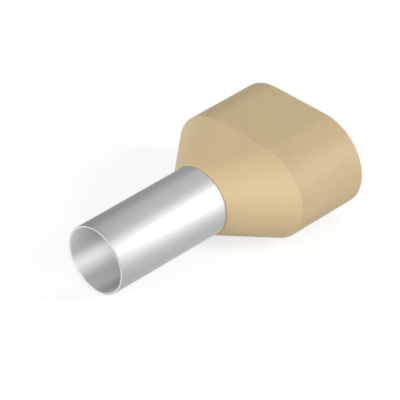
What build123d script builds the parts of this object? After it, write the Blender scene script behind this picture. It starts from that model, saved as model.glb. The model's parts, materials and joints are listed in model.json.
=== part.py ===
from build123d import *
import os
from math import atan, cos, sin, tan

# Twin wire ferrule: a thin metal sleeve for two stripped conductors, held by its flare in a moulded collar.
# Millimetres. The sleeve's axis is X, and the origin lies on it at the collar's nose, where the pin starts.
# The sleeve's open end points to -X, the wires go in at +X, and the collar's wide side lies along Y.

# Metal sleeve
bore_diameter = 6.5
sleeve_wall = 0.2
pin_length = 13.3
grip_start = 0.05
grip_length = 2.55
grip_growth = 0.08
flare_length = 1.1
flare_growth = 0.44
flare_bend_radius = 0.8
mouth_edge_round = 0.04

# Moulded collar
nose_lip = 0.09
taper_length = 5.35
entry_length = 8.05
collar_wall = 0.5
roof_rise = 0.3
wire_spacing = 6.45
pocket_shelf = 0.4
shoulder_round = 0.2
end_edge_round = 0.12
lead_in_round = 0.22

# Clearance between the sleeve's outside and the collar that grips it
fit_gap = 0.01

bore_radius = bore_diameter / 2
sleeve_radius = bore_radius + sleeve_wall
collar_length = taper_length + entry_length

# Inside the collar the tube opens slowly over its grip, which wedges it there, and then flares
grip_slope = atan(grip_growth / grip_length)
flare_slope = atan(flare_growth / flare_length)
grip_end = grip_start + grip_length
grip_end_radius = bore_radius + grip_growth
flare_end = grip_end + flare_length
flare_end_radius = grip_end_radius + flare_growth

# The collar's bore and seat follow the sleeve's outer surface, and its outside grows from them
collar_bore_radius = sleeve_radius + fit_gap
seat_offset = sleeve_wall + fit_gap
funnel_radius = flare_end_radius + seat_offset / cos(flare_slope)
nose_radius = collar_bore_radius + nose_lip
pocket_half_height = funnel_radius + roof_rise
collar_half_height = pocket_half_height + collar_wall
pocket_floor = taper_length + pocket_shelf

# How far the cutting solids run past the faces that they open
past_face = 1.0


def shifted_corner(x, radius, slope_before, slope_after, offset):
    """A corner of the tube's run in section, moved outward so that both stretches beside it move by the offset."""
    mean_slope = (slope_before + slope_after) / 2
    reach = offset / cos((slope_after - slope_before) / 2)
    return (x - reach * sin(mean_slope), radius + reach * cos(mean_slope))


def tube_line(offset, start, stretch=0.0):
    """The tube's run in section, moved outward from its bore: straight pin, slow grip cone, bend and flare."""
    rim_x, rim_radius = shifted_corner(flare_end, flare_end_radius, flare_slope, flare_slope, offset)
    return FilletPolyline(
        (start, bore_radius + offset),
        shifted_corner(grip_start, bore_radius, 0, grip_slope, offset),
        shifted_corner(grip_end, grip_end_radius, grip_slope, flare_slope, offset),
        (rim_x + stretch * cos(flare_slope), rim_radius + stretch * sin(flare_slope)),
        radius=[0, flare_bend_radius + sleeve_wall - offset],
    )


def turned(section):
    """A solid of revolution about the sleeve's axis, from a section drawn as (x, radius)."""
    return revolve(section, Axis.X, 360)


def make_sleeve():
    """Seamless tube, square-cut and lightly rounded at the mouth, flared at the end inside the collar."""
    inner = tube_line(0, -pin_length)
    outer = tube_line(sleeve_wall, -pin_length)
    mouth = Line(outer @ 0, inner @ 0)
    rim = Line(inner @ 1, outer @ 1)
    section = make_face([inner, rim, outer, mouth])
    edge_round = min(mouth_edge_round, 0.4 * sleeve_wall)
    mouth_corners = section.vertices().sort_by(Axis.X)[:2]
    return turned(fillet(mouth_corners, edge_round))


def stadium(x, half_height):
    """Flattened-round face across the axis at x: two half circles, one for each wire, joined by straight lines."""
    outline = SlotCenterToCenter(wire_spacing, 2 * half_height)
    return Plane(origin=(x, 0, 0), x_dir=(0, 1, 0), z_dir=(1, 0, 0)) * outline


def half_disc(x, side, centre, radius):
    """Half of a round face across the axis at x, on the side of +Y or -Y."""
    foot = (x, side * centre, -radius)
    head = (x, side * centre, radius)
    rim = ThreePointArc(foot, (x, side * (centre + radius), 0), head)
    return make_face([rim, Line(head, foot)])


def round_to_stadium(start, start_radius, end, end_half_height):
    """Developable transition from a circle to a stadium: an oblique cone at each side, flat triangles between."""
    centre = wire_spacing / 2
    cones = []
    for side in (-1, 1):
        narrow = half_disc(start, side, 0, start_radius)
        wide = half_disc(end, side, centre, end_half_height)
        cones.append(loft([narrow, wide], ruled=True))
    plan = make_face(Polyline((start, 0), (end, -centre), (end, centre), close=True))
    elevation = make_face(
        Polyline(
            (start, 0, -start_radius),
            (end, 0, -end_half_height),
            (end, 0, end_half_height),
            (start, 0, start_radius),
            close=True,
        )
    )
    tall = extrude(plan, end_half_height, both=True)
    wedge = tall & extrude(elevation, centre, both=True)
    return cones[0] + wedge + cones[1]


def make_collar_outside():
    """Nose circle, taper, shoulder and straight wire entry, with the moulding's small roundings."""
    taper = round_to_stadium(0, nose_radius, taper_length, collar_half_height)
    entry = extrude(stadium(taper_length, collar_half_height), entry_length)
    return taper + entry


def make_core():
    """The space inside the collar: bore, flare seat, funnel and the pocket for the two insulated wires."""
    seat = tube_line(seat_offset, -past_face, stretch=seat_offset * tan(flare_slope))
    tip = seat @ 1
    section = make_face(
        [seat, Polyline(tip, (tip.X, 0), (-past_face, 0), seat @ 0)]
    )
    funnel = round_to_stadium(flare_end, funnel_radius, pocket_floor, pocket_half_height)
    pocket = extrude(stadium(pocket_floor, pocket_half_height), collar_length + past_face - pocket_floor)
    return turned(section) + funnel + pocket


def make_collar():
    """The moulded collar: its outside less the core, with a rounded lead-in for the wires."""
    outside = make_collar_outside()
    shoulder = outside.edges().filter_by_position(Axis.X, taper_length, taper_length)
    outside = fillet(shoulder, shoulder_round)
    end_face = outside.faces().sort_by(Axis.X)[-1]
    outside = fillet(end_face.outer_wire().edges(), min(end_edge_round, 0.4 * collar_wall))
    collar = outside - make_core()
    end_face = collar.faces().sort_by(Axis.X)[-1]
    return fillet(end_face.inner_wires()[0].edges(), min(lead_in_round, 0.45 * collar_wall))


os.makedirs("parts", exist_ok=True)
export_step(make_sleeve(), "parts/sleeve.step")
export_step(make_collar(), "parts/collar.step")
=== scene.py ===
# Twin wire ferrule: a tin-plated tube in an ivory moulded collar, lying on a pale sweep in soft studio light
import json
import math
import bmesh
import bpy
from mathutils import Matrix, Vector


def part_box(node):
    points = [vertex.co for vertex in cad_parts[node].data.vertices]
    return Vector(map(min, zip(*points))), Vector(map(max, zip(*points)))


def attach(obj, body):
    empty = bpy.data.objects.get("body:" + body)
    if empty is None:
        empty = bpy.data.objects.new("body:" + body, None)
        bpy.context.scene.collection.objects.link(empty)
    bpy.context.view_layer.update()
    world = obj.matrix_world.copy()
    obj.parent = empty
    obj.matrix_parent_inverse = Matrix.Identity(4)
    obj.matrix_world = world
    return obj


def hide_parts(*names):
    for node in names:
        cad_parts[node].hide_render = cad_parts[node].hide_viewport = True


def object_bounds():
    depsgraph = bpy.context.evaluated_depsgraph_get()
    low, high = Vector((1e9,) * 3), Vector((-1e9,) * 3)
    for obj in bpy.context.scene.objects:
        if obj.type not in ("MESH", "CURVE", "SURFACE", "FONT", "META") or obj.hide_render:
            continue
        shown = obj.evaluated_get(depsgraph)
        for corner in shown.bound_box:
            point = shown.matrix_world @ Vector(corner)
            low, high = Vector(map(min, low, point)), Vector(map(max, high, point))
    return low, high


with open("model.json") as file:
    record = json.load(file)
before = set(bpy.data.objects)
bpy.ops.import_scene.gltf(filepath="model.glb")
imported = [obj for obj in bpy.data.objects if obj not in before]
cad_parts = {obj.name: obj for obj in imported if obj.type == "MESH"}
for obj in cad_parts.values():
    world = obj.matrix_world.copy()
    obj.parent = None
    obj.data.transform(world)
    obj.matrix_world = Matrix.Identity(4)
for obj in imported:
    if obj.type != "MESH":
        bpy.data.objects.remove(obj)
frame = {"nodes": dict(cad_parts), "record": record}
cadLow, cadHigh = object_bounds()
print("frame loaded:", ", ".join(sorted(frame["nodes"])))

mm = 0.001

# Sizes that the frame already holds
mounts = {mount["name"]: mount for mount in frame["record"]["mounts"]}
boreRadius = mounts["conductor_bore"]["dims"]["r_mm"] * mm
pinRadius = mounts["terminal_pin"]["dims"]["r_mm"] * mm
sleeveLow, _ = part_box("sleeve")
collarLow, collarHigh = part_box("collar")


# How finely the turned and moulded surfaces are divided
fineness = {
    "halfTurnSteps": 96,  # around each half circle
    "straightSteps": 6,  # across the flat between the two half circles
    "arcSteps": 6,  # along each rounded edge
    "edgeHold": 0.3,  # a row beside each rounding, as a share of its radius, keeps the long faces flat
    "weldDistance": 0.0001 * mm,
}


def roundedLoop(corners, rounds):
    # a closed section line: every corner becomes an arc, with a holding row before and after it
    loop = []
    for index, corner in enumerate(corners):
        before = (corners[index - 1] - corner).normalized()
        after = (corners[(index + 1) % len(corners)] - corner).normalized()
        halfAngle = before.angle(after) / 2
        sweep = math.pi - 2 * halfAngle
        reach = rounds[index] / math.tan(halfAngle)
        hold = reach + fineness["edgeHold"] * rounds[index]
        centre = corner + (before + after).normalized() * (rounds[index] / math.sin(halfAngle))
        start = corner + before * reach - centre
        end = corner + after * reach - centre
        loop.append(corner + before * hold)
        for step in range(fineness["arcSteps"] + 1):
            turn = sweep * step / fineness["arcSteps"]
            spoke = start * math.sin(sweep - turn) + end * math.sin(turn)
            loop.append(centre + spoke / math.sin(sweep))
        loop.append(corner + after * hold)
    return loop


def circleColumns():
    # ways out from the axis, evenly round it
    steps = 2 * fineness["halfTurnSteps"]
    turns = [2 * math.pi * step / steps for step in range(steps)]
    return [(0, math.sin(turn), math.cos(turn)) for turn in turns]


def stadiumColumns():
    # round one half circle, back across the flat, round the other half circle and across again
    columns = []
    for side in (1, -1):
        for step in range(fineness["halfTurnSteps"] + 1):
            turn = math.pi * step / fineness["halfTurnSteps"]
            columns.append((side, side * math.sin(turn), side * math.cos(turn)))
        for step in range(1, fineness["straightSteps"]):
            share = 1 - 2 * step / fineness["straightSteps"]
            columns.append((side * share, 0, -side))
    return columns


def sectionSkin(name, corners, columns):
    # a corner is (x, half spacing of the two centres, radius, edge rounding)
    # a column is one way out from the axis: (share of the half spacing, out along y, out along z)
    skin = bmesh.new()
    rounds = [rounding for _, _, _, rounding in corners]
    rows = []
    for share, outY, outZ in columns:
        points = [Vector((x, share * half + outY * radius, outZ * radius)) for x, half, radius, _ in corners]
        rows.append([skin.verts.new(point) for point in roundedLoop(points, rounds)])
    for index, row in enumerate(rows):
        last = rows[index - 1]
        for place in range(len(row)):
            skin.faces.new((last[place - 1], last[place], row[place], row[place - 1]))
    bmesh.ops.remove_doubles(skin, verts=skin.verts, dist=fineness["weldDistance"])
    bmesh.ops.recalc_face_normals(skin, faces=skin.faces)
    data = bpy.data.meshes.new(name)
    skin.to_mesh(data)
    skin.free()
    data.shade_smooth()
    piece = bpy.data.objects.new(name, data)
    bpy.context.scene.collection.objects.link(piece)
    return piece


def linearColour(code):
    # an sRGB hex colour as the linear one that shaders take, by the standard's own curve
    values = [int(code[place:place + 2], 16) / 255 for place in (0, 2, 4)]
    return (*[v / 12.92 if v <= 0.04045 else ((v + 0.055) / 1.055) ** 2.4 for v in values], 1)


# A colour mix's sockets, by their places, because its sockets for plain numbers have the same names
mixSocket = {"share": 0, "first": 6, "second": 7, "mixed": 2}


def addNode(tree, kind, inputs=(), **settings):
    # one node with its settings; each input is a value or another node's output
    node = tree.nodes.new(kind)
    for name, value in settings.items():
        setattr(node, name, value)
    for name, value in dict(inputs).items():
        if isinstance(value, bpy.types.NodeSocket):
            tree.links.new(value, node.inputs[name])
        else:
            node.inputs[name].default_value = value
    return node


def startMaterial(name):
    # a material with no nodes yet
    material = bpy.data.materials.new(name)
    material.use_nodes = True
    material.node_tree.nodes.clear()
    return material


# Sleeve: seamless drawn tube, cut square at the mouth and flared inside the collar
tube = {
    "gripStart": 0.05 * mm,
    "gripLength": 2.55 * mm,
    "gripGrowth": 0.08 * mm,
    "flareLength": 1.1 * mm,
    "flareGrowth": 0.44 * mm,
    "bendRadius": 0.8 * mm,
    "edgeRound": 0.04 * mm,
}
tubeWall = pinRadius - boreRadius
gripSlope = math.atan(tube["gripGrowth"] / tube["gripLength"])
flareSlope = math.atan(tube["flareGrowth"] / tube["flareLength"])
gripEnd = tube["gripStart"] + tube["gripLength"]
flareEnd = gripEnd + tube["flareLength"]


def tubeCorner(x, radius, slopeBefore, slopeAfter, offset, bend):
    # a corner of the bore's line, moved outward with both stretches beside it
    lean = (slopeBefore + slopeAfter) / 2
    reach = offset / math.cos((slopeAfter - slopeBefore) / 2)
    return (x - reach * math.sin(lean), 0, radius + reach * math.cos(lean), bend)


def tubeRun(offset):
    # from the grip to the flare's rim, at a distance outward from the bore
    bend = tube["bendRadius"] + tubeWall - offset
    gripRadius = boreRadius + tube["gripGrowth"]
    flareRadius = gripRadius + tube["flareGrowth"]
    return [
        tubeCorner(tube["gripStart"], boreRadius, 0, gripSlope, offset, bend),
        tubeCorner(gripEnd, gripRadius, gripSlope, flareSlope, offset, bend),
        tubeCorner(flareEnd, flareRadius, flareSlope, flareSlope, offset, tube["edgeRound"]),
    ]


sleeveCorners = [
    (sleeveLow.x, 0, boreRadius, tube["edgeRound"]),
    *tubeRun(0),
    *reversed(tubeRun(tubeWall)),
    (sleeveLow.x, 0, pinRadius, tube["edgeRound"]),
]
sleeve = sectionSkin("tinned_sleeve", sleeveCorners, circleColumns())
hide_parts("sleeve")
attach(sleeve, "root")
print("sleeve made:", len(sleeve.data.polygons), "faces")


# Collar: moulded on a core, round at the nose and flattened-round where the two wires go in
moulding = {
    "taperLength": 5.35 * mm,
    "wall": 0.5 * mm,
    "roofRise": 0.3 * mm,
    "pocketShelf": 0.4 * mm,
    "noseLip": 0.09 * mm,
    "fitGap": 0.01 * mm,
    "noseGrip": 0.004 * mm,  # the soft nose closes on the tube, so no gap shows there
    "noseRound": (0.005 * mm, 0.03 * mm),  # on the tube and outside
    "shoulderRound": 0.2 * mm,
    "endRound": 0.12 * mm,
    "leadInRound": 0.22 * mm,
    "coreRound": 0.15 * mm,
    "seatRound": 0.03 * mm,
}
halfHeight = collarHigh.z
halfSpacing = collarHigh.y - collarHigh.z
pocketHalfHeight = halfHeight - moulding["wall"]
funnelRadius = pocketHalfHeight - moulding["roofRise"]
pocketFloor = moulding["taperLength"] + moulding["pocketShelf"]
collarBore = pinRadius + moulding["fitGap"]
noseInner, noseOuter = moulding["noseRound"]
_, seatBend, _ = tubeRun(tubeWall + moulding["fitGap"])

collarCorners = [
    (collarLow.x, 0, pinRadius - moulding["noseGrip"], noseInner),
    (collarLow.x, 0, collarBore + moulding["noseLip"], noseOuter),
    (moulding["taperLength"], halfSpacing, halfHeight, moulding["shoulderRound"]),
    (collarHigh.x, halfSpacing, halfHeight, moulding["endRound"]),
    (collarHigh.x, halfSpacing, pocketHalfHeight, moulding["leadInRound"]),
    (pocketFloor, halfSpacing, pocketHalfHeight, moulding["coreRound"]),
    (flareEnd, 0, funnelRadius, moulding["seatRound"]),
    seatBend,
]
collar = sectionSkin("moulded_collar", collarCorners, stadiumColumns())
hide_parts("collar")
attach(collar, "root")
print("collar made:", len(collar.data.polygons), "faces")


# Bright tin plate over drawn copper: a satin silver-grey that clouds a little from place to place.
# Outside, the die leaves faint lines along the tube, which spread each highlight round it.
# The cut rims are hardly lined and their highlight isn't spread; their lighter colour is a painted highlight.
# Inside, the plate is more matt and its highlight runs along the bore; its far paler colour is painted light.
tinPlate = {
    "cloudSize": 2.5 * mm,
    "cloudDetail": 3.0,  # how many finer layers of cloud lie in the first
    "lineSpacing": 0.12 * mm,  # real draw lines are finer, and these are as fine as still show
    "lineLength": 5 * mm,
    "lineDetail": 2.0,
    "rimLean": 0.5,  # a face belongs to a cut rim where it looks less than this outward or inward
    "outside": {
        "colour": "AAAAAB",
        "dullColour": "A5A5A6",
        "roughness": (0.4, 0.46),
        "spread": 0.88,  # how much longer a highlight is one way than the other
        "spreadTurn": 0.0,  # the longer way, in whole turns from round the tube
        "lineDepth": 0.005 * mm,
    },
    "rim": {
        # painted highlight: lighter than the outside plate, as if the rim caught a bright line of light
        "colour": "D2D2D3",
        "dullColour": "CACACB",
        "roughness": (0.4, 0.46),
        "spread": 0.0,
        "spreadTurn": 0.0,
        "lineDepth": 0.0015 * mm,
    },
    "bore": {
        # painted light: far paler than the outside plate, to brighten the bore as if light reached into its
        # shade
        "colour": "F6F6F6",
        "dullColour": "F2F2F2",
        "roughness": (0.53, 0.59),
        "spread": 0.95,
        "spreadTurn": 0.25,
        "lineDepth": 0.0015 * mm,
    },
}


def makeTinPlate(side):
    finish = tinPlate[side]
    material = startMaterial("tin_plated_copper_" + side)
    tree = material.node_tree
    place = addNode(tree, "ShaderNodeTexCoord").outputs["Object"]
    cloud = addNode(tree, "ShaderNodeTexNoise", {
        "Vector": place,
        "Scale": 1 / tinPlate["cloudSize"],
        "Detail": tinPlate["cloudDetail"],
    })
    tone = addNode(tree, "ShaderNodeMix", {
        mixSocket["share"]: cloud.outputs["Fac"],
        mixSocket["first"]: linearColour(finish["colour"]),
        mixSocket["second"]: linearColour(finish["dullColour"]),
    }, data_type="RGBA")
    stretched = addNode(tree, "ShaderNodeMapping", {
        "Vector": place,
        "Scale": (1 / tinPlate["lineLength"], 1 / tinPlate["lineSpacing"], 1 / tinPlate["lineSpacing"]),
    })
    lines = addNode(tree, "ShaderNodeTexNoise", {
        "Vector": stretched.outputs["Vector"],
        "Scale": 1.0,  # the mapping has given the lines their size
        "Detail": tinPlate["lineDetail"],
    })
    lowest, highest = finish["roughness"]
    satin = addNode(tree, "ShaderNodeMapRange", {
        "Value": lines.outputs["Fac"],
        "To Min": lowest,
        "To Max": highest,
    })
    relief = addNode(tree, "ShaderNodeBump", {
        "Height": lines.outputs["Fac"],
        "Distance": finish["lineDepth"],
    })
    around = addNode(tree, "ShaderNodeTangent", direction_type="RADIAL", axis="X")
    shader = addNode(tree, "ShaderNodeBsdfPrincipled", {
        "Base Color": tone.outputs[mixSocket["mixed"]],
        "Metallic": 1.0,
        "Roughness": satin.outputs["Result"],
        "Anisotropic": finish["spread"],
        "Anisotropic Rotation": finish["spreadTurn"],
        "Tangent": around.outputs["Tangent"],
        "Normal": relief.outputs["Normal"],
    })
    addNode(tree, "ShaderNodeOutputMaterial", {"Surface": shader.outputs["BSDF"]})
    return material


# Injection-moulded polypropylene in ivory: matt, a little waxy, with the fine grain of a spark-eroded mould
polypropylene = {
    "colour": "CEB68D",
    "flowColour": "C9B188",
    "flowSize": 4 * mm,
    "flowDetail": 2.0,
    "flowSwirl": 1.0,
    "grainSize": 0.16 * mm,  # real grain is finer, and this is as fine as still shows
    "grainDetail": 2.0,
    "grainSharpness": 0.6,  # how strong each finer layer of grain is beside the one before
    "grainDepth": 0.026 * mm,
    "roughness": (0.46, 0.56),
    "ior": 1.49,
    "depthOfLight": 0.35 * mm,  # how far light soaks into the wall
    "soak": 0.15,
}


def makePolypropylene():
    material = startMaterial("moulded_polypropylene")
    tree = material.node_tree
    place = addNode(tree, "ShaderNodeTexCoord").outputs["Object"]
    flow = addNode(tree, "ShaderNodeTexNoise", {
        "Vector": place,
        "Scale": 1 / polypropylene["flowSize"],
        "Detail": polypropylene["flowDetail"],
        "Distortion": polypropylene["flowSwirl"],
    })
    tone = addNode(tree, "ShaderNodeMix", {
        mixSocket["share"]: flow.outputs["Fac"],
        mixSocket["first"]: linearColour(polypropylene["colour"]),
        mixSocket["second"]: linearColour(polypropylene["flowColour"]),
    }, data_type="RGBA")
    grain = addNode(tree, "ShaderNodeTexNoise", {
        "Vector": place,
        "Scale": 1 / polypropylene["grainSize"],
        "Detail": polypropylene["grainDetail"],
        "Roughness": polypropylene["grainSharpness"],
    })
    lowest, highest = polypropylene["roughness"]
    matt = addNode(tree, "ShaderNodeMapRange", {
        "Value": grain.outputs["Fac"],
        "To Min": lowest,
        "To Max": highest,
    })
    relief = addNode(tree, "ShaderNodeBump", {
        "Height": grain.outputs["Fac"],
        "Distance": polypropylene["grainDepth"],
    })
    shader = addNode(tree, "ShaderNodeBsdfPrincipled", {
        "Base Color": tone.outputs[mixSocket["mixed"]],
        "Roughness": matt.outputs["Result"],
        "IOR": polypropylene["ior"],
        "Subsurface Weight": polypropylene["soak"],
        "Subsurface Scale": polypropylene["depthOfLight"],
        "Normal": relief.outputs["Normal"],
    })
    addNode(tree, "ShaderNodeOutputMaterial", {"Surface": shader.outputs["BSDF"]})
    return material


for side in ("outside", "rim", "bore"):
    sleeve.data.materials.append(makeTinPlate(side))
# A face takes the first finish where it looks outward, the second on a cut rim, and the third in the bore
for face in sleeve.data.polygons:
    lean = face.normal.dot(Vector((0, face.center.y, face.center.z)).normalized())
    face.material_index = int(lean < tinPlate["rimLean"]) + int(lean < -tinPlate["rimLean"])
collar.data.materials.append(makePolypropylene())
print("materials made")


# Pale sweep: a level sheet that turns up at its rim.
# It leans so that the mouth's rim and the collar's shoulder both touch it.
sweep = {
    "colour": "AEAEAE",
    "reach": 400 * mm,
    "rimRadius": 36 * mm,
    "rimSteps": 8,
    "turnSteps": 96,
    "clearance": 0.005 * mm,
    "glow": (0.69, 0.95),  # near and far, what the eye and the metal see beyond its lit colour
    "glowReach": (40 * mm, 400 * mm),
}


def makePaper():
    # plain white to the eye and in the plating, and it lights the object only by what it scatters
    material = startMaterial("matt_white_paper")
    tree = material.node_tree
    ray = addNode(tree, "ShaderNodeLightPath")
    seen = addNode(tree, "ShaderNodeMath", {
        0: ray.outputs["Is Camera Ray"],
        1: ray.outputs["Is Glossy Ray"],
    }, operation="MAXIMUM")
    seen = addNode(tree, "ShaderNodeMath", {
        0: seen.outputs["Value"],
        1: ray.outputs["Is Transmission Ray"],
    }, operation="MAXIMUM")
    place = addNode(tree, "ShaderNodeTexCoord").outputs["Object"]
    out = addNode(tree, "ShaderNodeVectorMath", {0: place}, operation="LENGTH")
    nearGlow, farGlow = sweep["glow"]
    nearReach, farReach = sweep["glowReach"]
    rise = addNode(tree, "ShaderNodeMapRange", {
        "Value": out.outputs["Value"],
        "From Min": nearReach,
        "From Max": farReach,
        "To Min": nearGlow,
        "To Max": farGlow,
    })
    glow = addNode(tree, "ShaderNodeMath", {
        0: seen.outputs["Value"],
        1: rise.outputs["Result"],
    }, operation="MULTIPLY")
    shader = addNode(tree, "ShaderNodeBsdfDiffuse", {"Color": linearColour(sweep["colour"])})
    light = addNode(tree, "ShaderNodeEmission", {"Strength": glow.outputs["Value"]})
    both = addNode(tree, "ShaderNodeAddShader", {0: shader.outputs["BSDF"], 1: light.outputs["Emission"]})
    addNode(tree, "ShaderNodeOutputMaterial", {"Surface": both.outputs["Shader"]})
    return material


def makeSweep():
    skin = bmesh.new()
    centre = skin.verts.new((0, 0, 0))
    profile = []
    for step in range(sweep["rimSteps"] + 1):
        turn = math.pi / 2 * step / sweep["rimSteps"]
        profile.append((
            sweep["reach"] + sweep["rimRadius"] * math.sin(turn),
            sweep["rimRadius"] * (1 - math.cos(turn)),
        ))
    rows = []
    for step in range(sweep["turnSteps"]):
        turn = 2 * math.pi * step / sweep["turnSteps"]
        rows.append([skin.verts.new((out * math.cos(turn), out * math.sin(turn), up)) for out, up in profile])
    for index, row in enumerate(rows):
        last = rows[index - 1]
        skin.faces.new((centre, last[0], row[0]))
        for place in range(1, len(row)):
            skin.faces.new((last[place - 1], last[place], row[place], row[place - 1]))
    data = bpy.data.meshes.new("floor")
    skin.to_mesh(data)
    skin.free()
    data.shade_smooth()
    floor = bpy.data.objects.new("floor", data)
    bpy.context.scene.collection.objects.link(floor)
    data.materials.append(makePaper())
    drop = halfHeight - pinRadius
    lean = math.atan(drop / (moulding["taperLength"] - sleeveLow.x))
    middle = pinRadius - sleeveLow.x * math.tan(lean) + sweep["clearance"]
    floor.rotation_euler = (0, lean, 0)
    floor.location = (0, 0, -middle)


makeSweep()
print("sweep laid")


# Soft studio light, from all round and from lamps that point at the object.
# A lamp's level of 1 shows a surface that faces it in its own colour.
# A lamp that is narrow along the tube streaks the plating brightly and adds little light to the collar.
surround = 0.3
lamps = {
    "key": {"from": (-0.75, -0.6, 0.31), "away": 330 * mm, "size": (300 * mm, 170 * mm), "level": 0.44},
    "left": {"from": (-1, 0.1, 0.22), "away": 300 * mm, "size": (240 * mm, 100 * mm), "level": 0.71},
    "side": {"from": (0.577, -0.693, 0.432), "away": 200 * mm, "size": (26 * mm, 100 * mm), "level": 0.44},
    "back": {"from": (0.577, 0.4, 0.71), "away": 300 * mm, "size": (60 * mm, 120 * mm), "level": 0.095},
    "far": {"from": (0, 0.9, 0.5), "away": 300 * mm, "size": (40 * mm, 160 * mm), "level": 0.13},
    "rear": {"from": (1, 0.1, 0.25), "away": 300 * mm, "size": (160 * mm, 160 * mm), "level": 0.1},
    "front": {"from": (0, -1, 0.4), "away": 300 * mm, "size": (30 * mm, 160 * mm), "level": 0.09},
    "top": {"from": (0, 0.1, 0.99), "away": 300 * mm, "size": (40 * mm, 200 * mm), "level": 0.05},
}


def hangLamps():
    world = bpy.data.worlds.new("studio")
    world.use_nodes = True
    world.node_tree.nodes.clear()
    ground = addNode(world.node_tree, "ShaderNodeBackground", {"Strength": surround})
    addNode(world.node_tree, "ShaderNodeOutputWorld", {"Surface": ground.outputs["Background"]})
    bpy.context.scene.world = world
    for name, lamp in lamps.items():
        light = bpy.data.lights.new(name, "AREA")
        light.shape = "RECTANGLE"
        light.size, light.size_y = lamp["size"]
        light.energy = lamp["level"] * (math.pi * lamp["away"]) ** 2
        holder = bpy.data.objects.new(name, light)
        way = Vector(lamp["from"]).normalized()
        holder.location = way * lamp["away"]
        holder.rotation_euler = way.to_track_quat("Z", "Y").to_euler()
        bpy.context.scene.collection.objects.link(holder)


hangLamps()
print("lamps hung")


# Camera: a long lens looking down the cube's diagonal, from the mouth's side
viewpoint = {
    "lens": 305.6,  # the camera takes its lens and sensor in millimetres
    "sensor": 36,
    "distance": 313.3 * mm,
    "sight": (1, 1, -1),
    "aimRight": -0.024 * mm,  # the aim beside the middle of the object, across and down the picture
    "aimDown": 0.005 * mm,
    "nearest": 10 * mm,
}


def setCamera():
    data = bpy.data.cameras.new("camera")
    data.lens = viewpoint["lens"]
    data.sensor_width = viewpoint["sensor"]
    data.clip_start = viewpoint["nearest"]
    camera = bpy.data.objects.new("camera", data)
    sight = Vector(viewpoint["sight"]).normalized()
    right = sight.cross(Vector((0, 0, 1))).normalized()
    down = sight.cross(right)
    aim = (cadLow + cadHigh) / 2 + right * viewpoint["aimRight"] + down * viewpoint["aimDown"]
    camera.location = aim - sight * viewpoint["distance"]
    camera.rotation_euler = sight.to_track_quat("-Z", "Y").to_euler()
    bpy.context.scene.collection.objects.link(camera)
    bpy.context.scene.camera = camera
    bpy.context.scene.view_settings.view_transform = "Standard"


setCamera()
print("camera set")
